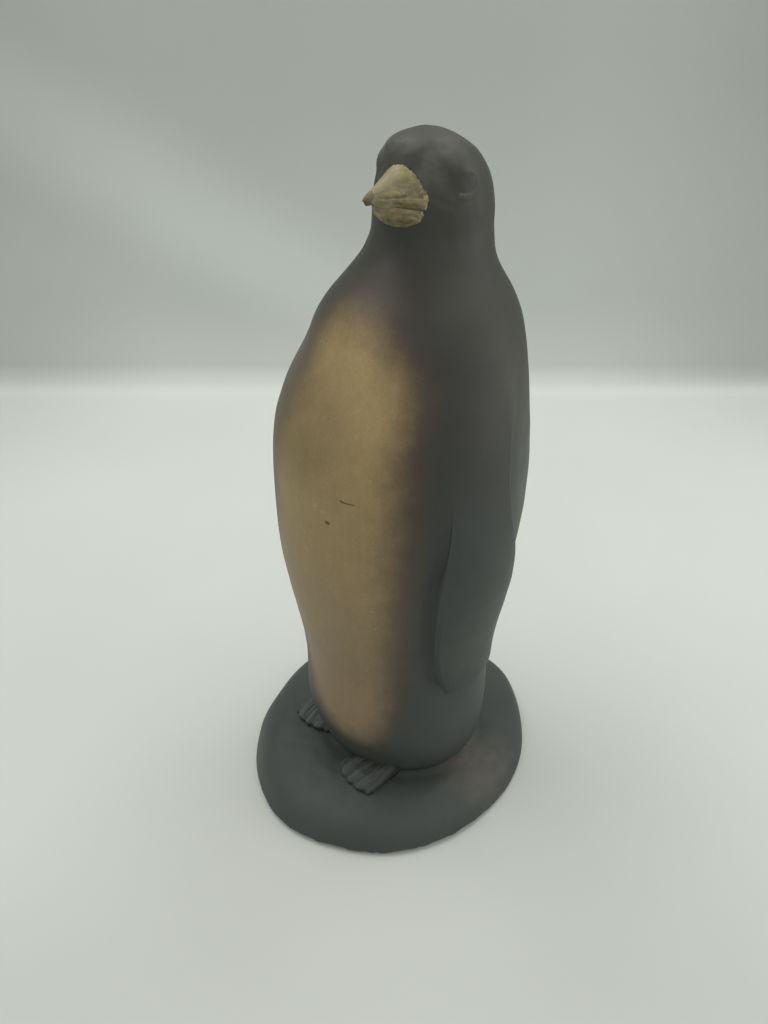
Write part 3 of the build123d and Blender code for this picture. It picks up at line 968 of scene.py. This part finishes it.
def coat_material(paint, colours):
    """Body, flippers and tail: dark paint, and gold blown on the breast over
    a reddish brown edge, with two marks that show the dark under it."""
    base, cloud, grain = dark_coat(paint, colours)
    height = paint.z
    inside = paint.maths("MULTIPLY_ADD", paint.mask("gold"), 2 * GOLD_REACH, -GOLD_REACH)
    # the dark deepens towards the gold, more so higher up
    low_near = paint.fade(inside, -26.0, -8.0, 1.0, 0.86)
    high_near = paint.fade(inside, -36.0, -8.0, 1.0, 0.66)
    near = paint.mix(paint.fade(height, 110.0, 170.0), low_near, high_near)
    # on the right side the gold and the dark fade into each other more widely
    far = paint.times(
        paint.fade(paint.x, -28.0, -8.0, 1.0, 0.0), paint.fade(height, 112.0, 140.0),
    )
    near = paint.mix(paint.times(far, 0.8), near, 1.0)
    # painted shade under the chin and bill: the throat is darker and browner
    throat = paint.distance(flank(9.0, 204.5))
    near = paint.times(near, paint.fade(throat, 4.0, 19.0, 0.56, 1.0))
    # painted shade under the belly and in the channel before the flipper
    painted_shade = paint.minus(1.0, paint.times(paint.mask("painted_shade"), 0.58))
    base = paint.shade(base, paint.times(near, painted_shade))
    # more of the painted shade under the chin, in a browner dark
    base = paint.blend(paint.fade(throat, 5.0, 22.0, 0.42, 0.0), base, colours.bare_dark)
    # painted highlight in a strip behind the flippers, and painted highlights on the head
    thin = paint.times(
        paint.fade(paint.y, 4.0, 9.0), paint.fade(height, 172.0, 198.0, 0.42, 0.0),
        paint.fade(height, 112.0, 135.0),
    )
    base = paint.shade(base, paint.plus(thin, 1.0))
    # painted highlights on the head
    painted_highlight = paint.times(paint.mask("painted_highlight"), paint.fade(cloud, 0.35, 0.65, 0.28, 0.76))
    base = paint.blend(painted_highlight, base, colours.coat_highlight)
    # gold dust and painted sheen on the right shoulder
    dust_and_sheen = paint.fade(paint.distance(flank(-42.0, 176.0)), 9.0, 32.0, 1.0, 0.0)
    base = paint.blend(paint.times(dust_and_sheen, paint.vary(grain, 0.5, 0.8)), base, colours.shoulder_sheen_and_dust)
    inside = paint.plus(inside, paint.plus(paint.swing(cloud, 5.0), paint.swing(grain, 2.2)))
    brown = paint.times(
        paint.fade(inside, -13.0, 1.0), paint.fade(height, 36.0, 80.0, 0.40, 0.72),
        paint.fade(height, 192.0, 203.0, 1.0, 0.55), paint.fade(far, 0.0, 1.0, 1.0, 0.4),
    )
    base = paint.blend(brown, base, colours.edge_brown)
    # the gold has painted glints and brush strokes, and is darker high on the breast and in a
    # broad patch just right of its middle
    gold = paint.mix(far, paint.fade(inside, -6.0, 10.5), paint.fade(inside, -15.0, 27.0))
    # the gold is yellower and lighter higher up: partly its own colour, partly painted light from
    # above
    gold_tone = paint.blend(paint.fade(height, 60.0, 185.0), colours.gold_low, colours.gold_high)
    glint_specks, where = paint.noise(1.6, 2.0, 0.6), paint.noise(11.0, 2.0)
    glint = paint.times(paint.fade(glint_specks, 0.60, 0.74), paint.fade(where, 0.50, 0.66))
    brush = paint.noise(1.0, spot=paint.vector("MULTIPLY", paint.spot, (0.55, 0.55, 0.06)))
    tone = paint.plus(
        paint.vary(cloud, 0.93, 1.06), paint.vary(brush, -0.04, 0.04),
        paint.times(glint, 0.30), paint.vary(grain, -0.08, 0.08),
    )
    darker_gold = paint.times(
        paint.fade(paint.distance(flank(-10.0, 169.0)), 8.0, 27.0, 0.76, 1.0),
        paint.fade(height, 190.0, 202.0, 1.0, 0.68),
    )
    colour = paint.blend(gold, base, paint.shade(gold_tone, paint.times(tone, darker_gold)))
    bare, jag = 0.0, paint.swing(grain, 0.5)
    for start, end, inner, outer in BARE_MARKS:
        away = paint.plus(paint.run_distance(flank(*start), flank(*end)), jag)
        bare = paint.maths("MAXIMUM", bare, paint.fade(away, inner, outer, 1.0, 0.0))
    return paint.finish({
        "Base Color": paint.blend(paint.times(bare, 0.85), colour, colours.bare_dark),
        "Metallic": paint.times(gold, paint.minus(1.0, bare), 0.35),
        "Roughness": paint.plus(paint.vary(cloud, 0.50, 0.60), paint.times(gold, -0.06)),
        "Specular IOR Level": 0.5,
    }, paint.total((grain, 0.6), (cloud, 0.9), (bare, -1.5)), 0.10, 0.6)


def stone_material(paint, colours):
    """Plinth and feet: the cool dark paint, browner in a stain, with small paler nicks along the
    lower lip. Painted shade darkens the webs and heels of the feet, and painted light lifts the
    toes, the trough round the body and one side."""
    base, cloud, grain = dark_coat(paint, colours)
    height, toe_light = paint.z, paint.mask("toe_light")
    # painted light that lifts the toes, most on the far foot in the body's shade
    base = paint.shade(base, paint.fade(toe_light, 0.0, 1.0, 1.03, 1.52))
    stain_at = paint.plus(paint.distance((42.0, 5.0, 12.0)), paint.swing(cloud, 22.0))
    stain = paint.times(paint.fade(stain_at, 4.0, 22.0, 1.0, 0.0), 0.50)
    colour = paint.blend(stain, base, colours.stain_brown)
    # painted shade in the webs of the feet and at their heels
    hollow = paint.times(paint.mask("hollow"), paint.fade(toe_light, 0.4, 1.0, 0.30, 0.42))
    # painted light in and beside the trough round the body
    painted_trough_light = paint.plus(1.0, paint.times(paint.mask("painted_trough_light"), 0.30))
    colour = paint.shade(colour, paint.minus(painted_trough_light, hollow))
    # painted light low on the back right edge, and a little dark round the lip
    painted_side_light = paint.times(
        paint.fade(paint.along((0.76, 0.65, 0.0)), -62.0, -42.0, 0.62, 0.0),
        paint.fade(height, 9.0, 13.0, 1.0, 0.1),
    )
    colour = paint.shade(colour, paint.plus(painted_side_light, paint.fade(height, 1.0, 9.0, 0.90, 1.0)))
    nick = paint.times(
        paint.fade(height, 0.4, 1.8, 1.0, 0.0), paint.fade(paint.noise(2.2), 0.56, 0.68), 0.5,
    )
    pits = paint.noise(1.4, 3.0, 0.6)
    return paint.finish({
        "Base Color": paint.blend(nick, colour, colours.nick_pale),
        "Roughness": paint.vary(cloud, 0.52, 0.64),
    }, paint.total((grain, 0.6), (pits, 0.8), (cloud, 1.2)), 0.14, 0.7)


def bill_material(paint, colours):
    """Bill: cream gold on the ridge and rim, olive in the channels and on the lower half, browner
    on the nail, the cream patchy over a darker olive. The extra cream on the ridge and the lighter
    top near the root are painted highlights."""
    cloud = paint.noise(3.2, 4.0, 0.6)
    grain = paint.noise(0.45, 3.0, 0.7)
    blotch = paint.noise(1.3, 3.0, 0.6)
    colour = paint.blend(paint.fade(cloud, 0.3, 0.7), colours.bill_gold, colours.bill_cream)
    deep = paint.plus(paint.mask("hollow"), paint.minus(blotch, 0.55))
    colour = paint.blend(paint.fade(deep, 0.25, 1.05, 0.0, 0.85), colour, colours.bill_olive)
    # painted highlight: more cream along the ridge on top; the nail browner and the lower half a
    # little more olive
    for name, share, over in (
        ("ridge", 0.65, colours.bill_cream),
        ("nail", 0.8, colours.bill_nail),
        ("low_half", 0.10, colours.bill_olive),
    ):
        colour = paint.blend(paint.times(paint.mask(name), share), colour, over)
    rim = paint.times(paint.mask("rim"), paint.fade(blotch, 0.44, 0.62), 0.75)
    colour = paint.blend(rim, colour, colours.bill_rim)
    tone = paint.plus(paint.vary(cloud, 0.92, 1.08), paint.vary(grain, -0.10, 0.10))
    # painted highlight: lighter towards the top of the bill near the root
    tone = paint.times(tone, paint.fade(paint.z, 237.5, 241.5, 1.0, 1.28))
    return paint.finish({
        "Base Color": paint.shade(colour, tone),
        "Metallic": 0.12,
        "Roughness": paint.vary(blotch, 0.42, 0.60),
    }, paint.total((grain, 0.5), (blotch, 1.2)), 0.16, 0.8)


def eye_material(paint, colours):
    """Eyes: the dark paint, a little darker and smoother."""
    cloud = paint.noise(1.8)
    return paint.finish({
        "Base Color": paint.shade(colours.coat_warm, paint.vary(cloud, 0.70, 1.05)),
        "Roughness": paint.vary(cloud, 0.34, 0.46),
    }, paint.noise(0.5), 0.06, 0.5)


def tent_material(paint, colours):
    """Pale cloth of the light tent, with painted light and shade: bright on the floor and painted
    greyer up the wall, darker upwards, to the sides, towards the near edge and in the far corners,
    lighter in a broad slanting band, with faint broad unevenness."""
    height, wall = paint.z, paint.fade(paint.z, 12.0, 92.0)
    aside, ahead = paint.along(VIEW_ASIDE), paint.along(VIEW_AHEAD)
    # painted shade: the wall darkens upwards and to the sides, but for a broad slanting band of
    # painted light
    sides = paint.times(
        paint.fade(aside, 130.0, 350.0, 1.0, 0.80), paint.fade(aside, -380.0, -160.0, 0.89, 1.0),
    )
    sides = paint.mix(paint.fade(height, 0.0, 14.0), 1.0, sides)
    upper = paint.times(
        paint.fade(height, 70.0, 290.0, 1.0, 0.82), paint.fade(height, 0.0, 9.0, 1.0, 0.90),
    )
    slant = paint.maths("ABSOLUTE", paint.plus(paint.total((aside, 0.51), (height, 0.86)), -49.0))
    band = paint.times(
        paint.fade(slant, 5.0, 65.0, 0.15, 0.0), paint.fade(aside, -20.0, 60.0, 1.0, 0.0), wall,
    )
    # painted shade on the floor towards the near edge
    near = paint.fade(ahead, -130.0, -50.0, 0.92, 1.0)
    # painted shade: the floor is a little darker in both far corners
    corner = paint.times(
        paint.fade(paint.maths("ABSOLUTE", aside), 190.0, 340.0, 0.0, 0.09),
        paint.fade(ahead, 150.0, 400.0), paint.minus(1.0, wall),
    )
    lit = paint.times(sides, upper, paint.plus(near, band), paint.minus(1.0, corner))
    broad = paint.fade(paint.noise(260.0), 0.25, 0.75, 0.975, 1.025)
    # the wall takes a darker copy of the floor's cloth, as painted shade
    colour = paint.blend(wall, colours.tent_floor, colours.tent_wall_shaded)
    return paint.finish({
        "Base Color": paint.shade(colour, paint.times(lit, broad)),
        "Roughness": 0.9,
        "Specular IOR Level": 0.1,
    }, paint.noise(0.8, 2.0), 0.05, 0.3)


FINISHES = {
    "painted_coat": coat_material,
    "plinth_paint": stone_material,
    "bill_paint": bill_material,
    "eye_paint": eye_material,
    "tent_cloth": tent_material,
}


def finish_named(name):
    """The material of that name, made the first time that it is asked for."""
    colours = bpy.context.scene.penguin_colours
    return bpy.data.materials.get(name) or FINISHES[name](Paint(name), colours)


# Settings and operators

def length_setting(name, about, default):
    """Length that a user would change, in metres."""
    return bpy.props.FloatProperty(
        name=name, description=about, default=default, min=0.0,
        subtype="DISTANCE", unit="LENGTH", precision=5,
    )


def colour_setting(name, about, default):
    """Colour that a user would change."""
    return bpy.props.FloatVectorProperty(
        name=name, description=about, default=default, min=0.0, max=1.0, size=3, subtype="COLOR",
    )


class PenguinSizes(bpy.types.PropertyGroup):
    """Sizes of the carved detail."""
    carving_depth: bpy.props.FloatProperty(
        name="Carving", description="Depth of the carving on the head, 1 as made",
        default=1.0, min=0.0, max=2.0,
    )
    groove_depth: length_setting(
        "Flipper channel", "Depth of the channel round the flippers", 0.0006)
    flipper_stand: length_setting(
        "Flipper stand", "How far the flippers stand off the body", 0.0034)
    ridge_depth: length_setting("Bill folds", "Depth of the folds on the bill", 0.00026)
    rim_stand: length_setting(
        "Bill rim", "How far the crumbled rim of the bill stands out", 0.0003)
    chip_depth: length_setting("Chips", "Depth of the chips in the plinth's lower edge", 0.0010)


class PenguinColours(bpy.types.PropertyGroup):
    """Colours of the paint and the stage."""
    coat_cool: colour_setting(
        "Cool dark", "Dark paint of the flippers and plinth", (0.048, 0.0565, 0.0495))
    coat_warm: colour_setting(
        "Warm dark", "Dark paint of the head and shoulders", (0.047, 0.047, 0.036))
    edge_brown: colour_setting(
        "Edge brown", "Reddish brown at the edge of the gold", (0.088, 0.052, 0.030))
    gold_high: colour_setting("Upper gold", "Gold of the upper breast", (0.355, 0.264, 0.118))
    gold_low: colour_setting("Lower gold", "Gold of the lower breast", (0.262, 0.192, 0.111))
    # colour of the gold dust and painted sheen on the right shoulder
    shoulder_sheen_and_dust: colour_setting(
        "Gold dust", "Thin gold over the dark on the right shoulder", (0.150, 0.140, 0.105))
    bare_dark: colour_setting(
        "Bare dark", "Dark that shows in the marks on the breast", (0.044, 0.033, 0.014))
    # colour of the painted highlights on the head
    coat_highlight: colour_setting(
        "Rubbed dark", "Rubbed paint on the lids, brow, forehead and cheek", (0.200, 0.198, 0.175))
    stain_brown: colour_setting("Stain", "Brown tint on the plinth", (0.122, 0.104, 0.084))
    nick_pale: colour_setting(
        "Nicks", "Pale nicks along the plinth's edge", (0.130, 0.135, 0.130))
    bill_cream: colour_setting(
        "Bill cream", "Light paint on the ridge of the bill", (0.290, 0.255, 0.120))
    bill_gold: colour_setting("Bill gold", "Middle tone of the bill", (0.205, 0.175, 0.098))
    bill_olive: colour_setting(
        "Bill olive", "Dark wash in the channels of the bill", (0.104, 0.092, 0.040))
    bill_nail: colour_setting("Bill nail", "Tip of the bill", (0.148, 0.112, 0.058))
    bill_rim: colour_setting(
        "Bill rim", "Crumbled rim at the root of the bill", (0.470, 0.440, 0.270))
    # one cloth: the wall's colour is the floor's, painted darker as shade
    tent_floor: colour_setting("Floor", "Cloth under the figurine", (0.705, 0.735, 0.685))
    tent_wall_shaded: colour_setting("Wall", "Cloth behind the figurine", (0.603, 0.639, 0.591))


def place(piece, finish, slot, *nodes):
    """Finishes a piece, which rides on the root and stands for its solids."""
    piece.data.materials.append(finish_named(finish))
    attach(piece, "root")
    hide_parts(*nodes)


class PENGUIN_OT_body(bpy.types.Operator):
    """Build the body with its neck and carved head"""
    bl_idname = "penguin.body"
    bl_label = "Body and head"

    def execute(self, context):
        piece = body_piece(context.scene.penguin_sizes)
        place(piece, "painted_coat", "dark_coat", "body")
        return {"FINISHED"}


class PENGUIN_OT_flippers(bpy.types.Operator):
    """Build both flippers"""
    bl_idname = "penguin.flippers"
    bl_label = "Flippers"

    def execute(self, context):
        for side in (1, -1):
            piece = flipper_piece(side, context.scene.penguin_sizes)
            place(piece, "painted_coat", "dark_coat", f"{hand(side)}_flipper")
        return {"FINISHED"}


class PENGUIN_OT_bill(bpy.types.Operator):
    """Build the upper and lower half of the bill"""
    bl_idname = "penguin.bill"
    bl_label = "Bill"

    def execute(self, context):
        upper = upper_bill_piece(context.scene.penguin_sizes)
        place(upper, "bill_paint", "bill_coat", "upper_bill")
        place(lower_bill_piece(), "bill_paint", "bill_coat", "lower_bill")
        return {"FINISHED"}


class PENGUIN_OT_eyes(bpy.types.Operator):
    """Build both eyes"""
    bl_idname = "penguin.eyes"
    bl_label = "Eyes"

    def execute(self, context):
        for side in (1, -1):
            place(eye_piece(side), "eye_paint", "eye_coat", f"{hand(side)}_eye")
        return {"FINISHED"}


class PENGUIN_OT_feet(bpy.types.Operator):
    """Build both webbed feet"""
    bl_idname = "penguin.feet"
    bl_label = "Feet"

    def execute(self, context):
        for solid, shape in FEET.items():
            place(foot_piece(f"{solid}_coat", *shape), "plinth_paint", "dark_coat", solid)
        return {"FINISHED"}


class PENGUIN_OT_tail(bpy.types.Operator):
    """Build the tail"""
    bl_idname = "penguin.tail"
    bl_label = "Tail"

    def execute(self, context):
        place(tail_piece(), "painted_coat", "dark_coat", "tail")
        return {"FINISHED"}


class PENGUIN_OT_plinth(bpy.types.Operator):
    """Build the pebble plinth"""
    bl_idname = "penguin.plinth"
    bl_label = "Plinth"

    def execute(self, context):
        piece = plinth_piece(context.scene.penguin_sizes)
        place(piece, "plinth_paint", "dark_coat", "plinth")
        return {"FINISHED"}


CAMERA_PLACE = (0.15502, -0.18475, 0.27305)
CAMERA_PITCH = math.radians(58.05)
CAMERA_PAN = math.radians(40.93)
CAMERA_LENS = 27.035
# Level directions across the view and into it
VIEW_ASIDE = (math.cos(CAMERA_PAN), math.sin(CAMERA_PAN), 0.0)
VIEW_AHEAD = (-math.sin(CAMERA_PAN), math.cos(CAMERA_PAN), 0.0)
WALL_DISTANCE = 0.65
WALL_FOLD = 0.022
WORLD_STRENGTH = 0.59


def tent_piece():
    """Cloth of the tent, in metres: a floor that turns up, round a soft fold,
    into the wall behind the figurine. The profile is swept sideways across
    the view."""
    fold = np.linspace(0, math.pi / 2, 14)
    bend = WALL_DISTANCE - WALL_FOLD + WALL_FOLD * np.sin(fold)
    reach = np.concatenate([[-2.2, -1.0, 0.0], bend, [WALL_DISTANCE] * 3])[:, None, None]
    level = np.concatenate([[0, 0, 0], WALL_FOLD * (1 - np.cos(fold)), [0.3, 0.8, 1.6]])
    sweep = np.linspace(-2.0, 2.0, 41)[:, None]
    grid = reach * VIEW_AHEAD + sweep * VIEW_ASIDE + (CAMERA_PLACE[0], CAMERA_PLACE[1], 0)
    grid[..., 2] = level[:, None]
    rows, columns = grid.shape[:2]
    corner = (np.arange(rows - 1)[:, None] * columns + np.arange(columns - 1)).reshape(-1)
    faces = np.stack([corner, corner + 1, corner + columns + 1, corner + columns], -1)
    made = smooth_object("tent", grid.reshape(-1, 3), faces.tolist())
    made.data.materials.append(finish_named("tent_cloth"))
    return made


# Lamps: name, place, size and power
LAMPS = (
    ("back_left_panel", (-0.436, 0.045, 0.8), 0.4, 1.70),
    ("back_right_panel", (0.017, 0.438, 0.8), 0.4, 1.90),
    ("top_left_panel", (-0.302, -0.262, 0.8), 0.4, 0.90),
    ("right_panel", (0.453, 0.393, 0.3), 0.5, 0.75),
)
LAMP_AIM = np.array([0, 0, 0.1])


def area_light(name, place_at, size, power):
    """Square soft light at a place, turned towards the figurine."""
    data = bpy.data.lights.new(name, "AREA")
    data.shape = "SQUARE"
    data.size = size
    data.energy = power
    lamp = bpy.data.objects.new(name, data)
    bpy.context.scene.collection.objects.link(lamp)
    x, y, z = LAMP_AIM - place_at
    lamp.location = place_at
    lamp.rotation_euler = (math.atan2(math.hypot(x, y), -z), 0, math.atan2(y, x) - math.pi / 2)


class PENGUIN_OT_stage(bpy.types.Operator):
    """Make the tent, the lights and the camera"""
    bl_idname = "penguin.stage"
    bl_label = "Tent, lights and camera"

    def execute(self, context):
        scene = context.scene
        tent_piece()
        for lamp in LAMPS:
            area_light(*lamp)
        world = bpy.data.worlds.new("tent_air")
        world.use_nodes = True
        scene.world = world
        back = world.node_tree.nodes["Background"]
        back.inputs["Color"].default_value = (1.0, 1.0, 1.0, 1.0)
        back.inputs["Strength"].default_value = WORLD_STRENGTH
        data = bpy.data.cameras.new("camera")
        data.lens = CAMERA_LENS
        data.sensor_width = 36.0
        camera = bpy.data.objects.new("camera", data)
        camera.location = CAMERA_PLACE
        camera.rotation_euler = (CAMERA_PITCH, 0, CAMERA_PAN)
        scene.collection.objects.link(camera)
        scene.camera = camera
        scene.view_settings.view_transform = "Standard"
        return {"FINISHED"}


class PENGUIN_PT_panel(bpy.types.Panel):
    """Lists the penguin's pieces and settings"""
    bl_idname = "PENGUIN_PT_panel"
    bl_label = "Penguin"
    bl_space_type = "VIEW_3D"
    bl_region_type = "UI"
    bl_category = "Penguin"

    def draw(self, context):
        for group in (context.scene.penguin_sizes, context.scene.penguin_colours):
            box = self.layout.box()
            for key in group.__annotations__:
                box.prop(group, key)
        for operator in OPERATORS:
            self.layout.operator(operator.bl_idname)


OPERATORS = (
    PENGUIN_OT_plinth,
    PENGUIN_OT_body,
    PENGUIN_OT_flippers,
    PENGUIN_OT_bill,
    PENGUIN_OT_eyes,
    PENGUIN_OT_feet,
    PENGUIN_OT_tail,
    PENGUIN_OT_stage,
)
CLASSES = (PenguinSizes, PenguinColours) + OPERATORS + (PENGUIN_PT_panel,)


def register():
    """Registers the classes and hangs both groups of settings on the scene."""
    for each in CLASSES:
        bpy.utils.register_class(each)
    bpy.types.Scene.penguin_sizes = bpy.props.PointerProperty(type=PenguinSizes)
    bpy.types.Scene.penguin_colours = bpy.props.PointerProperty(type=PenguinColours)


def unregister():
    """Takes the settings and the classes away again."""
    del bpy.types.Scene.penguin_colours
    del bpy.types.Scene.penguin_sizes
    for each in reversed(CLASSES):
        bpy.utils.unregister_class(each)


def main():
    """Registers the classes and builds every piece and the stage."""
    register()
    bpy.ops.penguin.plinth()
    bpy.ops.penguin.body()
    bpy.ops.penguin.flippers()
    bpy.ops.penguin.bill()
    bpy.ops.penguin.eyes()
    bpy.ops.penguin.feet()
    bpy.ops.penguin.tail()
    bpy.ops.penguin.stage()


if __name__ == "__main__":
    main()
